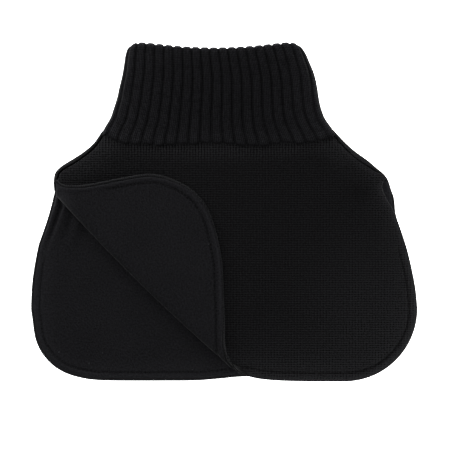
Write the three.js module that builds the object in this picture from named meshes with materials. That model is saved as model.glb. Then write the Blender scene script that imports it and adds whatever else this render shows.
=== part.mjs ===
// Turtleneck dickey lying flat on its back bib, with the front bib's lower left corner folded up.
// Millimetres. +X points to the right, +Y towards the top of the collar and +Z up. The cloth rests on z = 0.
import * as THREE from 'three';

// Cloth thicknesses and the air between the plies
const KNIT = 1.6;
const LINING = 1.4;
const PLY_GAP = 0.3;
const BIB_GAP = 0.5;
const SEAM_GAP = 0.35;
const SHOULDER_GAP = 0.9;
const BIB = KNIT + PLY_GAP + LINING;
const STACK = 2 * BIB + BIB_GAP;
const LINING_INSET = 3.2;

// Ribbed collar: a tube folded at its top into an inner leaf and a turned-down leaf
const LEAF = 2.8;
const LEAF_GAP = 0.4;
const COLLAR_WALL = 2 * LEAF + LEAF_GAP;
const RIBS = 42;
const RIB_DEPTH = 1.3;
const RIB_SHIFT = 0.37;
const COLLAR_TOP = 171;
const TOP_DIP = 8.5;
const CORNER_DROP = 8;
const CORNER_POWER = 12;
const CORNER_FADE = 60;
const SEAM_BELOW = 83;
const HEM_BELOW = 98;
const HEM_RISE = 15;
const HEM_RISE_FROM = 0.1;
const HEM_RISE_OVER = 0.15;
const SLIT_BELOW = 5;
const LEAF_STATIONS = [84, 62, 40];
const FOLD_STEPS = 3;
// Corners of one rib: share of its width from the groove's middle, and how deep the groove is there
const RIB_EDGES = [
  { share: -0.1, groove: 1 },
  { share: 0.1, groove: 1 },
  { share: 0.26, groove: 0 },
  { share: 0.74, groove: 0 },
];

// Flattened sections of the collar: depth below its top, middle, half width, and half height of the hollow
const COLLAR_SECTIONS = [
  { below: 0, centre: -9, half: 86.7, hollow: 4.6 },
  { below: 12, centre: -7.4, half: 91.2, hollow: 4.3 },
  { below: 30, centre: -5.3, half: 95.9, hollow: 3.6 },
  { below: 54, centre: -5.9, half: 100, hollow: 2.4 },
  { below: 70, centre: -6.4, half: 103.9, hollow: 1.6 },
  { below: 82, centre: -6.4, half: 108.2, hollow: 1.2 },
  { below: 88, centre: -6.2, half: 111.6, hollow: 1.1 },
  { below: 98, centre: -5.8, half: 115.6, hollow: 1.3 },
];

// The bibs rise over the back of the turned-down leaf before they meet the inner leaf
const RISE = LEAF + LEAF_GAP;
const RISE_START = 17;
const RISE_LENGTH = 60;
const NECK_HALF = 102.5;

// The shoulders seen from above, from the neck to the tip, where the back bib wraps up to the front
const SHOULDER_ROLL = STACK / 2;
const LEFT_SHOULDER = [
  { x: -122, y: 78.5 },
  { x: -130, y: 68.2 },
  { x: -139.3, y: 60 },
  { x: -150.7, y: 52.4 },
  { x: -162, y: 45.4 },
  { x: -168.6, y: 38.5 },
];
const RIGHT_SHOULDER = [
  { x: 109, y: 80.3 },
  { x: 120, y: 69.4 },
  { x: 131, y: 59.8 },
  { x: 143, y: 50.6 },
  { x: 153.5, y: 42 },
  { x: 161, y: 36.5 },
];

// The sides of the bibs, from the shoulder tip down to the rounded corner
const BACK_LEFT_SIDE = [
  { x: -170.4, y: 30 },
  { x: -170.8, y: 18 },
  { x: -174, y: 3 },
  { x: -180, y: -17 },
  { x: -186.8, y: -37 },
  { x: -192, y: -67 },
  { x: -193.7, y: -95 },
];
const BACK_RIGHT_SIDE = [
  { x: 165.5, y: 30 },
  { x: 169.6, y: 18 },
  { x: 171.6, y: 0 },
  { x: 181, y: -36 },
  { x: 189.3, y: -72 },
  { x: 192.2, y: -97.6 },
];
const FRONT_RIGHT_SIDE = [
  { x: 157.6, y: 25 },
  { x: 161, y: 13 },
  { x: 171, y: -4 },
  { x: 183, y: -37 },
  { x: 191, y: -73 },
  { x: 193.7, y: -97.6 },
];
const BACK_BOTTOM = [
  { x: -192.4, y: -108 },
  { x: -189.8, y: -126 },
  { x: -185.4, y: -138 },
  { x: -179, y: -147.5 },
  { x: -169.5, y: -156.6 },
  { x: -158, y: -163 },
  { x: -146, y: -166.8 },
  { x: -132, y: -169.2 },
  { x: -112, y: -170.2 },
  { x: -60, y: -170.3 },
  { x: -28, y: -170 },
  { x: -4, y: -168.2 },
  { x: 20, y: -166.2 },
  { x: 60, y: -167 },
  { x: 100, y: -169 },
];
const RIGHT_CORNER = { x: 120.6, y: -97.6, radius: 73.1 };
const BACK_CORNER_INSET = 1.5;
const FRONT_BOTTOM = [
  { x: 86, y: -170.7 },
  { x: 54, y: -169.8 },
  { x: 34, y: -167.8 },
  { x: 22, y: -165 },
];

// The fold line of the front corner runs from the left side down to the bottom edge
const FOLD_START = new THREE.Vector2(-168.6, 16.7);
const FOLD_END = new THREE.Vector2(16.4, -163.8);
const FOLD_LENGTH = FOLD_START.distanceTo(FOLD_END);
const FOLD_ALONG = FOLD_END.clone().sub(FOLD_START).normalize();
const FOLD_ACROSS = new THREE.Vector2(FOLD_ALONG.y, -FOLD_ALONG.x);
const FOLD_BOW = 4.7;
const FOLD_RADIUS_START = 1.5;
const FOLD_RADIUS_END = 4.5;
const FLAP_GAP = 0.8;
const FLAP_MIN_FALL = 70;

// Outer edge of the folded corner: distance along the fold line, and reach over the front
const FLAP_EDGE = [
  { along: -7.5, reach: 8 },
  { along: 2, reach: 14.6 },
  { along: 12.5, reach: 24.6 },
  { along: 35, reach: 56.6 },
  { along: 55, reach: 82 },
  { along: 79, reach: 95 },
  { along: 103, reach: 99 },
  { along: 127, reach: 93 },
  { along: 162, reach: 71.5 },
  { along: 198, reach: 38.9 },
  { along: 229, reach: 9.1 },
  { along: 246, reach: 2.9 },
];
// The same edge where it isn't turned over yet, measured on the flat cloth
const FOLD_LEFT_END = [
  { along: -11.5, across: -10 },
  { along: -5, across: -4.8 },
  { along: -4, across: 0 },
];
const FOLD_RIGHT_END = { along: 258, across: 1.5 };

// Meshing: distance between points, nearest a point may come to a row's end, and points on a smooth line
const STEP = 19;
const END_SHARE = 0.35;
const TRAVEL_REACH = 3;
const FRONT_STEPS = { low: 7, high: 4 };
const NECK_CLEARANCE = 0.5;
const FRONT_FIRST_LEVEL = -222;
const FRONT_TIP_LEVEL = -19;
const FRONT_LAST_LEVEL = 96;
const BEND_STEPS = 6;
const FLAP_STEPS = 5;
const SHOULDER_LEVELS = { from: 76, to: 36, step: 8 };
const BACK_STEPS = 10;
const BACK_LAST_LEVEL = -156;
const LIP_STEPS = 4;
const FINE = 240;

const { lerp, clamp, smoothstep } = THREE.MathUtils;
const ease = (value) => smoothstep(value, 0, 1);

/** Straight interpolation in a table of rows sorted by the key column. */
function lookUp(rows, key, value, column) {
  const next = clamp(rows.findIndex((row) => row[key] >= value), 1, rows.length - 1);
  const upper = value > rows[rows.length - 1][key] ? rows.length - 1 : next;
  const [low, high] = [rows[upper - 1], rows[upper]];
  const share = clamp((value - low[key]) / (high[key] - low[key]), 0, 1);
  return lerp(low[column], high[column], share);
}

/** Evenly spaced points on the smooth curve through a table of x and y. */
function smoothLine(rows, count) {
  const curve = new THREE.SplineCurve(rows.map((row) => new THREE.Vector2(row.x, row.y)));
  return curve.getSpacedPoints(count);
}

/** Points on a circular arc, given in degrees. */
function arcLine(corner, radius, from, to, count) {
  return Array.from({ length: count + 1 }, (_, index) => {
    const angle = THREE.MathUtils.degToRad(lerp(from, to, index / count));
    return new THREE.Vector2(corner.x + radius * Math.cos(angle), corner.y + radius * Math.sin(angle));
  });
}

/** Moves each point of a line to the left of its direction of travel. */
function shifted(line, distance) {
  return line.map((point, index) => {
    const before = line[Math.max(index - 1, 0)];
    const after = line[Math.min(index + 1, line.length - 1)];
    const travel = after.clone().sub(before).normalize();
    return new THREE.Vector2(point.x - travel.y * distance, point.y + travel.x * distance);
  });
}

/** Depth of the collar's top edge below its highest line, at a share of the half width. */
function topDip(share) {
  return TOP_DIP * (1 - Math.min(share * share, 1));
}

/** Y of the seam between collar and bibs. */
function seamY(x) {
  const centre = lookUp(COLLAR_SECTIONS, 'below', SEAM_BELOW, 'centre');
  const half = lookUp(COLLAR_SECTIONS, 'below', SEAM_BELOW, 'half');
  return COLLAR_TOP - topDip((x - centre) / half) - SEAM_BELOW - SEAM_GAP;
}

/** Lift of both bibs above their flat height near the collar. */
function bibLift(x, y) {
  return RISE * (1 - ease((seamY(x) - y - RISE_START) / RISE_LENGTH));
}

const frontTop = (x, y) => STACK + bibLift(x, y);

/** Inner radius of the turned-over corner, which grows along the fold line. */
function foldRadius(along) {
  return lerp(FOLD_RADIUS_START, FOLD_RADIUS_END, clamp(along / FOLD_LENGTH, 0, 1));
}

/** Where the cloth leaves the flat and starts to turn over, measured across the fold line. */
function bendStart(along) {
  const share = clamp(along / FOLD_LENGTH, 0, 1);
  return 4 * FOLD_BOW * share * (1 - share) - foldRadius(along) - BIB;
}

const bendLength = (along) => Math.PI * (foldRadius(along) + BIB / 2);

/** Reach of the flap's edge turned back into a place on the flat cloth. */
function unfolded({ along, reach }) {
  return { along, across: 2 * bendStart(along) + bendLength(along) + reach };
}

/** A place measured along and across the fold line as x and y. */
function fromFold({ along, across }) {
  return FOLD_START.clone().addScaledVector(FOLD_ALONG, along).addScaledVector(FOLD_ACROSS, across);
}

/** Places a point of the flat front cloth, at a depth below its knit face, on the folded front. */
function onFront(point, depth) {
  const offset = point.clone().sub(FOLD_START);
  const along = offset.dot(FOLD_ALONG);
  const past = offset.dot(FOLD_ACROSS) - bendStart(along);
  if (past <= 0) return new THREE.Vector3(point.x, point.y, frontTop(point.x, point.y) - depth);
  const inner = foldRadius(along);
  const length = bendLength(along);
  const angle = Math.min(past / length, 1) * Math.PI;
  const over = Math.max(past - length, 0);
  const across = bendStart(along) + (inner + depth) * Math.sin(angle) - over;
  const root = fromFold({ along, across: bendStart(along) - over });
  const place = fromFold({ along, across });
  const edge = lookUp(FLAP_EDGE, 'along', along, 'reach') + bendStart(along);
  const sink = (2 * inner - FLAP_GAP) * ease(over / Math.max(edge, FLAP_MIN_FALL));
  const height = frontTop(root.x, root.y) + inner - (inner + depth) * Math.cos(angle) - sink;
  return new THREE.Vector3(place.x, place.y, height);
}

/** Places a point of the flat back cloth at a height above its underside. */
function onBack(point, height) {
  return new THREE.Vector3(point.x, point.y, bibLift(point.x, point.y) + height);
}

/** A sheet under construction: each vertex has a place on the flat cloth and one on each face. */
function newSheet() {
  return { flat: [], top: [], bottom: [], triangles: [] };
}

/** Adds a vertex and gives back its number. */
function addVertex(sheet, flat, top, bottom) {
  sheet.flat.push(flat);
  sheet.top.push(top);
  sheet.bottom.push(bottom);
  return sheet.flat.length - 1;
}

/** Fills the strip between two rows of vertices, always over the shorter diagonal. */
function zip(sheet, upper, lower) {
  let [i, j] = [0, 0];
  while (i < upper.length - 1 || j < lower.length - 1) {
    const canUpper = i < upper.length - 1;
    const canLower = j < lower.length - 1;
    const upperDiagonal = canUpper ? sheet.flat[upper[i + 1]].distanceTo(sheet.flat[lower[j]]) : Infinity;
    const lowerDiagonal = canLower ? sheet.flat[lower[j + 1]].distanceTo(sheet.flat[upper[i]]) : Infinity;
    const third = upperDiagonal <= lowerDiagonal ? upper[i + 1] : lower[j + 1];
    if (new Set([upper[i], lower[j], third]).size === 3) sheet.triangles.push([upper[i], lower[j], third]);
    if (upperDiagonal <= lowerDiagonal) i += 1;
    else j += 1;
  }
}

/** Points where a closed line crosses a level, sorted along the level. */
function crossings(outline, level, frame) {
  const side = outline.map((point) => frame.across(point) - level(frame.along(point)));
  const found = [];
  outline.forEach((point, index) => {
    const next = (index + 1) % outline.length;
    if (side[index] < 0 === side[next] < 0) return;
    found.push(point.clone().lerp(outline[next], side[index] / (side[index] - side[next])));
  });
  return found.sort((a, b) => frame.along(a) - frame.along(b));
}

/** The points of a level inside the outline at whole steps, with its ends on the outline. */
function levelRow(outline, level, frame, step) {
  const found = crossings(outline, level, frame);
  const [first, last] = [found[0], found[found.length - 1]];
  const row = [first];
  const from = Math.ceil(frame.along(first) / step + END_SHARE);
  for (let at = from; at < frame.along(last) / step - END_SHARE; at += 1) {
    row.push(frame.point(at * step, level(at * step)));
  }
  return [...row, last];
}

/** The outline's points beyond a level on one side, a step apart. */
function capRow(outline, level, frame, step, sign) {
  const beyond = outline.filter((point) => sign * (frame.across(point) - level(frame.along(point))) > 0);
  beyond.sort((a, b) => frame.along(a) - frame.along(b));
  const kept = [beyond[0]];
  for (const point of beyond) {
    if (kept[kept.length - 1].distanceTo(point) >= step) kept.push(point);
  }
  return kept;
}

/** Builds a sheet from its outline and levels; place gives a point of the cloth at a given depth. */
function weave(outline, levels, frame, place, depths) {
  const sheet = newSheet();
  const add = (point) => addVertex(sheet, point, place(point, depths[0]), place(point, depths[1]));
  const rows = [
    capRow(outline, levels[0], frame, STEP / 2, -1),
    ...levels.map((level) => levelRow(outline, level, frame, STEP)),
    capRow(outline, levels[levels.length - 1], frame, STEP / 2, 1),
  ].map((row) => row.map(add));
  rows.slice(1).forEach((row, index) => zip(sheet, rows[index], row));
  return { sheet, rows };
}

/** Closes a sheet round its rim and makes it one mesh with its faces outwards. */
function sheetMesh(name, sheet, finish) {
  const count = sheet.flat.length;
  const indices = [];
  const rim = new Map();
  for (const [a, b, c] of sheet.triangles) {
    indices.push(a, b, c, a + count, c + count, b + count);
    for (const [from, to] of [[a, b], [b, c], [c, a]]) {
      if (rim.has(`${to},${from}`)) rim.delete(`${to},${from}`);
      else rim.set(`${from},${to}`, [from, to]);
    }
  }
  for (const [from, to] of rim.values()) {
    indices.push(from, from + count, to + count, from, to + count, to);
  }
  return meshOf(name, [...sheet.top, ...sheet.bottom], indices, finish);
}

/** A named mesh from points and triangle indices, with a finish of its own. */
function meshOf(name, points, indices, finish) {
  const geometry = new THREE.BufferGeometry().setFromPoints(points);
  geometry.setIndex(indices);
  geometry.computeVertexNormals();
  const mesh = new THREE.Mesh(geometry, new THREE.MeshStandardMaterial(finish));
  mesh.name = name;
  return mesh;
}

const RIB_KNIT = { color: 0x151516, roughness: 0.95, metalness: 0 };
const JERSEY = { color: 0x171718, roughness: 0.93, metalness: 0 };
const LINING_CLOTH = { color: 0x1a1a1c, roughness: 0.88, metalness: 0 };

/** Closed outline of the front bib on the flat cloth, counterclockwise, from the neck's left end. */
function frontOutline() {
  const seamInset = SHOULDER_ROLL + SHOULDER_GAP;
  const left = shifted(smoothLine(LEFT_SHOULDER, FINE), seamInset);
  const right = shifted(smoothLine([...RIGHT_SHOULDER].reverse(), FINE), seamInset);
  const flap = [
    ...FOLD_LEFT_END,
    ...FLAP_EDGE.map(unfolded),
    FOLD_RIGHT_END,
  ].map(fromFold);
  const corner = arcLine(RIGHT_CORNER, RIGHT_CORNER.radius, -90, 0, FINE);
  return [
    ...left,
    ...smoothLine([...flap, ...[...FRONT_BOTTOM].reverse()], FINE * 2),
    ...corner,
    ...smoothLine([...FRONT_RIGHT_SIDE].reverse(), FINE),
    ...right,
    ...neckLine().reverse(),
  ];
}

/** Closed outline of the back bib up to where it starts to wrap round the shoulders. */
function backOutline() {
  const left = shifted(smoothLine(LEFT_SHOULDER, FINE), SHOULDER_ROLL);
  const right = shifted(smoothLine([...RIGHT_SHOULDER].reverse(), FINE), SHOULDER_ROLL);
  return [
    ...left,
    ...smoothLine([...BACK_LEFT_SIDE, ...BACK_BOTTOM], FINE * 3),
    ...arcLine(RIGHT_CORNER, RIGHT_CORNER.radius - BACK_CORNER_INSET, -90, 0, FINE),
    ...smoothLine([...BACK_RIGHT_SIDE].reverse(), FINE),
    ...right,
    ...neckLine().reverse(),
  ];
}

/** The neck edge of a bib from left to right. */
function neckLine() {
  const centre = lookUp(COLLAR_SECTIONS, 'below', SEAM_BELOW, 'centre');
  return Array.from({ length: FINE + 1 }, (_, index) => {
    const x = centre + lerp(-NECK_HALF, NECK_HALF, index / FINE);
    return new THREE.Vector2(x, seamY(x));
  });
}

/** Moves a closed outline inwards by a distance. */
function insetOutline(outline, distance) {
  const count = outline.length;
  return outline.map((point, index) => {
    const before = outline[(index + count - TRAVEL_REACH) % count];
    const travel = outline[(index + TRAVEL_REACH) % count].clone().sub(before).normalize();
    return new THREE.Vector2(point.x - travel.y * distance, point.y + travel.x * distance);
  });
}

const FOLD_FRAME = {
  along: (point) => point.clone().sub(FOLD_START).dot(FOLD_ALONG),
  across: (point) => point.clone().sub(FOLD_START).dot(FOLD_ACROSS),
  point: (along, across) => fromFold({ along, across }),
};
const BACK_FRAME = {
  along: (point) => point.x,
  across: (point) => -point.y,
  point: (along, across) => new THREE.Vector2(along, -across),
};

/** Levels across the front: even in the flat cloth and on the flap, close together in the bend. */
function frontLevels() {
  const corner = FOLD_FRAME.across(neckLine()[0]) - NECK_CLEARANCE;
  const levels = [];
  const spread = (from, to, count) => {
    for (let index = 0; index < count; index += 1) levels.push(() => lerp(from, to, index / count));
  };
  spread(FRONT_FIRST_LEVEL, corner, FRONT_STEPS.low);
  spread(corner, FRONT_TIP_LEVEL, FRONT_STEPS.high);
  for (let index = 0; index <= BEND_STEPS; index += 1) {
    levels.push((along) => bendStart(along) + bendLength(along) * index / BEND_STEPS);
  }
  for (let index = 1; index <= FLAP_STEPS; index += 1) {
    levels.push((along) => lerp(bendStart(along) + bendLength(along), FRONT_LAST_LEVEL, index / FLAP_STEPS));
  }
  return levels;
}

/** Levels down the back: close together beside the shoulders, even below them. */
function backLevels() {
  const heights = [];
  for (let y = SHOULDER_LEVELS.from; y >= SHOULDER_LEVELS.to; y -= SHOULDER_LEVELS.step) heights.push(y);
  const lowest = heights[heights.length - 1];
  for (let index = 1; index <= BACK_STEPS; index += 1) {
    heights.push(lerp(lowest, BACK_LAST_LEVEL, index / BACK_STEPS));
  }
  return heights.map((y) => () => -y);
}

/** Direction out of a line that interior lies to the left of, at the point of it nearest to a place. */
function outwardAt(line, place) {
  let nearest = 1;
  line.forEach((point, index) => {
    if (point.distanceTo(place) < line[nearest].distanceTo(place)) nearest = index;
  });
  const before = line[Math.max(nearest - 1, 0)];
  const travel = line[Math.min(nearest + 1, line.length - 1)].clone().sub(before).normalize();
  return new THREE.Vector2(travel.y, -travel.x);
}

/** Wraps the back's knit up and over a shoulder from the ends of the rows beside it. */
function addShoulderLip(sheet, ends, line) {
  const lips = ends.map((end) => {
    const root = sheet.flat[end];
    const out = outwardAt(line, root);
    const lip = [end];
    for (let index = 1; index <= LIP_STEPS; index += 1) {
      const angle = Math.PI * index / LIP_STEPS;
      const rolled = (radius) => {
        const place = root.clone().addScaledVector(out, radius * Math.sin(angle));
        const height = bibLift(root.x, root.y) + SHOULDER_ROLL - radius * Math.cos(angle);
        return new THREE.Vector3(place.x, place.y, height);
      };
      const flat = root.clone().addScaledVector(out, SHOULDER_ROLL * angle);
      lip.push(addVertex(sheet, flat, rolled(SHOULDER_ROLL - KNIT), rolled(SHOULDER_ROLL)));
    }
    return lip;
  });
  const isLeft = sheet.flat[ends[0]].x < 0;
  lips.slice(1).forEach((lip, index) => {
    const pair = [lips[index], lip].map((row) => (isLeft ? [...row].reverse() : row));
    zip(sheet, pair[0], pair[1]);
  });
}

/** A ply of the front, between two depths below the front's knit face. */
function frontPly(name, depths, inset, finish) {
  const outline = insetOutline(frontOutline(), inset);
  const { sheet } = weave(outline, frontLevels(), FOLD_FRAME, onFront, depths);
  return sheetMesh(name, sheet, finish);
}

/** A ply of the back, between two heights above the back's knit face. */
function backPly(name, heights, inset, wrapped, finish) {
  const outline = insetOutline(backOutline(), inset);
  const { sheet, rows } = weave(outline, backLevels(), BACK_FRAME, onBack, heights);
  if (wrapped) {
    const left = shifted(smoothLine(LEFT_SHOULDER, FINE), SHOULDER_ROLL);
    const right = shifted(smoothLine([...RIGHT_SHOULDER].reverse(), FINE), SHOULDER_ROLL);
    const beside = (row, tip) => sheet.flat[row[0]].y <= SHOULDER_LEVELS.from && sheet.flat[row[0]].y > tip.y;
    const leftRows = rows.slice(1).filter((row) => beside(row, LEFT_SHOULDER[LEFT_SHOULDER.length - 1]));
    const rightRows = rows.slice(1).filter((row) => beside(row, RIGHT_SHOULDER[RIGHT_SHOULDER.length - 1]));
    addShoulderLip(sheet, leftRows.map((row) => row[0]), left);
    addShoulderLip(sheet, rightRows.map((row) => row[row.length - 1]), right);
  }
  return sheetMesh(name, sheet, finish);
}

/** Place on the collar: share of a turn from the front's middle, depth below the top, distance out. */
function onCollar(turn, below, out) {
  const centre = lookUp(COLLAR_SECTIONS, 'below', below, 'centre');
  const half = lookUp(COLLAR_SECTIONS, 'below', below, 'half');
  const hollow = lookUp(COLLAR_SECTIONS, 'below', below, 'hollow');
  const { x, angle, radius } = roundCollar(turn, half, hollow);
  const share = (x + radius * Math.cos(angle)) / half;
  const corner = CORNER_DROP * share ** CORNER_POWER * Math.max(1 - below / CORNER_FADE, 0);
  return new THREE.Vector3(
    centre + x + (hollow + out) * Math.cos(angle),
    COLLAR_TOP - topDip(share) - corner - below,
    radius + (hollow + out) * Math.sin(angle),
  );
}

/** Walks round a flattened section: straight front and back joined by half circles at the sides. */
function roundCollar(turn, half, hollow) {
  const radius = hollow + COLLAR_WALL;
  const straight = half - radius;
  const bend = Math.PI * radius;
  const walked = turn * (4 * straight + 2 * bend);
  const up = Math.PI / 2;
  if (walked < straight) return { x: walked, angle: up, radius };
  if (walked < straight + bend) return { x: straight, angle: up - (walked - straight) / radius, radius };
  if (walked < 3 * straight + bend) return { x: 2 * straight + bend - walked, angle: -up, radius };
  if (walked < 3 * straight + 2 * bend) {
    return { x: -straight, angle: -up - (walked - 3 * straight - bend) / radius, radius };
  }
  return { x: walked - 4 * straight - 2 * bend, angle: up, radius };
}

/** The collar's wall at one place round it: out and up the turned-down leaf, over, and down inside. */
function collarProfile(turn, groove) {
  const hemHalf = COLLAR_SECTIONS[COLLAR_SECTIONS.length - 1].half;
  const hemHollow = COLLAR_SECTIONS[COLLAR_SECTIONS.length - 1].hollow;
  const sideways = Math.abs(Math.cos(roundCollar(turn, hemHalf, hemHollow).angle));
  const hem = HEM_BELOW - HEM_RISE * ease((sideways - HEM_RISE_FROM) / HEM_RISE_OVER);
  const outer = COLLAR_WALL - groove;
  const fold = COLLAR_WALL / 2;
  const slit = LEAF + LEAF_GAP;
  const profile = [hem, ...LEAF_STATIONS, fold].map((below) => [below, outer]);
  for (let index = 1; index <= FOLD_STEPS; index += 1) {
    const angle = Math.PI * index / (FOLD_STEPS + 1);
    const radius = fold - groove;
    profile.push([fold - radius * Math.sin(angle), fold + radius * Math.cos(angle)]);
  }
  profile.push([fold, groove], [LEAF_STATIONS[2], groove], [SEAM_BELOW, groove]);
  profile.push([SEAM_BELOW, LEAF], [LEAF_STATIONS[2], LEAF], [SLIT_BELOW, LEAF]);
  profile.push([SLIT_BELOW, slit], [LEAF_STATIONS[2], slit], [SEAM_BELOW, slit], [hem, slit]);
  return profile.map(([below, out]) => onCollar(turn, below, out));
}

/** The whole collar: a profile for each edge of each rib, joined round the ring. */
function ribbedCollar() {
  const columns = [];
  for (let rib = 0; rib < RIBS; rib += 1) {
    for (const { share, groove } of RIB_EDGES) {
      columns.push(collarProfile(((rib + share + RIB_SHIFT) / RIBS + 1) % 1, groove * RIB_DEPTH));
    }
  }
  const rows = columns[0].length;
  const indices = [];
  columns.forEach((_, column) => {
    const next = (column + 1) % columns.length;
    for (let row = 0; row < rows; row += 1) {
      const below = (row + 1) % rows;
      const [a, b] = [column * rows + row, next * rows + row];
      const [c, d] = [next * rows + below, column * rows + below];
      indices.push(a, b, c, a, c, d);
    }
  });
  return meshOf('ribbed_collar', columns.flat(), indices, RIB_KNIT);
}

const dickey = new THREE.Group();
dickey.add(
  ribbedCollar(),
  backPly('back_bib', [KNIT, 0], 0, true, JERSEY),
  backPly('back_lining', [BIB, KNIT + PLY_GAP], LINING_INSET, false, LINING_CLOTH),
  frontPly('front_lining', [KNIT + PLY_GAP, BIB], LINING_INSET, LINING_CLOTH),
  frontPly('front_bib', [0, KNIT], 0, JERSEY),
);

export default dickey;
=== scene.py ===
"""Turtleneck dickey lying flat: ribbed roll collar, lined front and back bibs, one corner folded up."""

import bpy
import numpy as np
from bpy.props import FloatProperty, FloatVectorProperty, PointerProperty
from bpy.types import Operator, Panel, PropertyGroup
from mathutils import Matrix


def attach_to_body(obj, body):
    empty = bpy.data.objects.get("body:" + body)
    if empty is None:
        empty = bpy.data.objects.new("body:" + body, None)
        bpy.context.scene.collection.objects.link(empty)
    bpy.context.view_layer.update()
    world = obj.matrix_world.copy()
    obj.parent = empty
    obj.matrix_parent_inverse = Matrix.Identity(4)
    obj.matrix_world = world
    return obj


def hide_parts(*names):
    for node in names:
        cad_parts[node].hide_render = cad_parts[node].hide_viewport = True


bl_info = {
    "name": "Turtleneck dickey",
    "version": (1, 0, 0),
    "blender": (4, 5, 0),
    "location": "3D View > Sidebar > Dickey",
    "description": "Builds a lined turtleneck dickey lying flat with one corner folded up",
    "category": "Object",
}

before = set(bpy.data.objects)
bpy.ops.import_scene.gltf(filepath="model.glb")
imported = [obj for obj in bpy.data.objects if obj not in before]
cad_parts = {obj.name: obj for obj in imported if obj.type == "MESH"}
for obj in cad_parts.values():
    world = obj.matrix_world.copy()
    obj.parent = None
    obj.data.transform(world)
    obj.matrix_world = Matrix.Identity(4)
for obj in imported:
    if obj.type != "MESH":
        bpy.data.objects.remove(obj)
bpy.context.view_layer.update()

# Lengths are in metres; the tables are written in millimetres and scaled by this
MM = 0.001

# Cloth thicknesses and the air between the plies
KNIT = 1.6 * MM
LINING = 1.4 * MM
PLY_GAP = 0.3 * MM
BIB_GAP = 0.5 * MM
SEAM_GAP = 0.35 * MM
BIB = KNIT + PLY_GAP + LINING
STACK = 2 * BIB + BIB_GAP

# Ribbed collar: a tube folded at its top into an inner leaf and a turned-down leaf
LEAF = 2.8 * MM
LEAF_GAP = 0.4 * MM
COLLAR_WALL = 2 * LEAF + LEAF_GAP
RIBS = 42
RIB_SHIFT = 0.37
# The hem's scallops, and how unevenly they hang, in waves of so many radians a rib
LOBE = 2.8 * MM
LOBE_DRIFT = 0.7 * MM
LOBE_TURN = 2.3
COLLAR_TOP = 171 * MM
TOP_DIP = 8.5 * MM
CORNER_DROP = 8 * MM
CORNER_POWER = 12
CORNER_FADE = 60 * MM
SEAM_BELOW = 83 * MM
SLIT_BELOW = 5 * MM
# Painted shade along the collar's hem: its width; and the reach of the painted highlight up from the hem
HEM_SHADE = 3.7 * MM
HEM_HIGHLIGHT_REACH = 22 * MM
# How much paler the rib knit is painted, as painted highlight, below its top, and to what depth; and at its
# sides
TOP_HIGHLIGHT = ((0.7, 22 * MM), (4, COLLAR_WALL), (20, 2.4 * MM))
SIDE_HIGHLIGHT = 2
# Share of the painted shade in the grooves between the ribs
GROOVE_SHADE = 0.65

# The bibs rise over the back of the turned-down leaf before they meet the inner leaf
RISE = LEAF + LEAF_GAP
RISE_START = 17 * MM
RISE_LENGTH = 60 * MM
NECK_HALF = 102.5 * MM

# The back bib wraps up round the shoulders to the seams of the front
SHOULDER_ROLL = STACK / 2
SHOULDER_SEAM = 1.4 * MM

# The fold line of the front corner runs from the left side down to the bottom edge
FOLD_START = np.array([-168.6, 16.7]) * MM
FOLD_END = np.array([16.4, -163.8]) * MM
FOLD_LENGTH = np.linalg.norm(FOLD_END - FOLD_START)
FOLD_ALONG = (FOLD_END - FOLD_START) / FOLD_LENGTH
FOLD_ACROSS = np.array([FOLD_ALONG[1], -FOLD_ALONG[0]])
FOLD_BOW = 4.7 * MM
FOLD_RADIUS = 1.3 * MM
FOLD_WIDER_LEFT = 3.2 * MM
FOLD_WIDER_RIGHT = 3.2 * MM
FLAP_GAP = 0.8 * MM
FLAP_MIN_FALL = 70 * MM


def columns(names, *rows):
    """A table in millimetres as named columns in metres."""
    return dict(zip(names.split(), MM * np.array(rows, float).T))


# Flattened sections of the collar: depth below its top, middle, half width, half height of the hollow
COLLAR_SECTIONS = columns(
    "below centre half hollow",
    (0, -9.2, 86.8, 4.6),
    (8, -8.1, 90.1, 4.4),
    (18, -6.9, 92.8, 4.1),
    (28, -5.7, 95.3, 3.7),
    (48, -5.7, 99.4, 2.7),
    (58, -6, 101, 2.2),
    (68, -6.5, 103.7, 1.6),
    (78, -6.3, 107.3, 1.3),
    (88, -5.8, 113.8, 1.1),
    (94, -5.2, 117.2, 1.2),
    (101, -4.7, 120, 1.3),
)
# Height of the turned-down leaf's hem along the front, from the left side to the right
COLLAR_HEM = columns(
    "place below",
    (-1000, 94.5),
    (-955, 96.3),
    (-894, 99.3),
    (-700, 100.8),
    (-440, 99.2),
    (-120, 96),
    (100, 96.6),
    (290, 99.8),
    (470, 98.2),
    (740, 99.8),
    (930, 97.5),
    (1000, 94),
)
# Outer line of each shoulder from the neck down
LEFT_SHOULDER = MM * np.array(
    [(-122.5, 79), (-130.3, 68), (-139.3, 60), (-150.7, 52.4), (-162, 45.5), (-168.6, 39), (-170.5, 32.5),
     (-170.6, 27)]
)
RIGHT_SHOULDER = MM * np.array(
    [(109.5, 81), (120.3, 69.4), (131, 59.8), (143.2, 50.9), (153.8, 42), (159.4, 38.5), (163, 35)]
)
# By the share of a shoulder's length, in thousandths: how far the cloth of the back runs past its root line,
# and how far the front stays inside
LEFT_WRAP = columns(
    "share wrap inset",
    (0, 9.5, 3),
    (350, 10.6, 3.6),
    (600, 11.2, 3.9),
    (800, 10.3, 3.4),
    (920, 10.6, 3.5),
    (1000, 3.6, 0.6),
)
RIGHT_WRAP = columns(
    "share wrap inset",
    (0, 9.8, 3.1),
    (330, 11.2, 3.9),
    (600, 12.3, 4.7),
    (720, 11, 3.9),
    (800, 9.4, 3),
    (880, 5.6, 1.9),
    (930, 4, 0.4),
    (1000, 3.6, 0.2),
)
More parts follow.
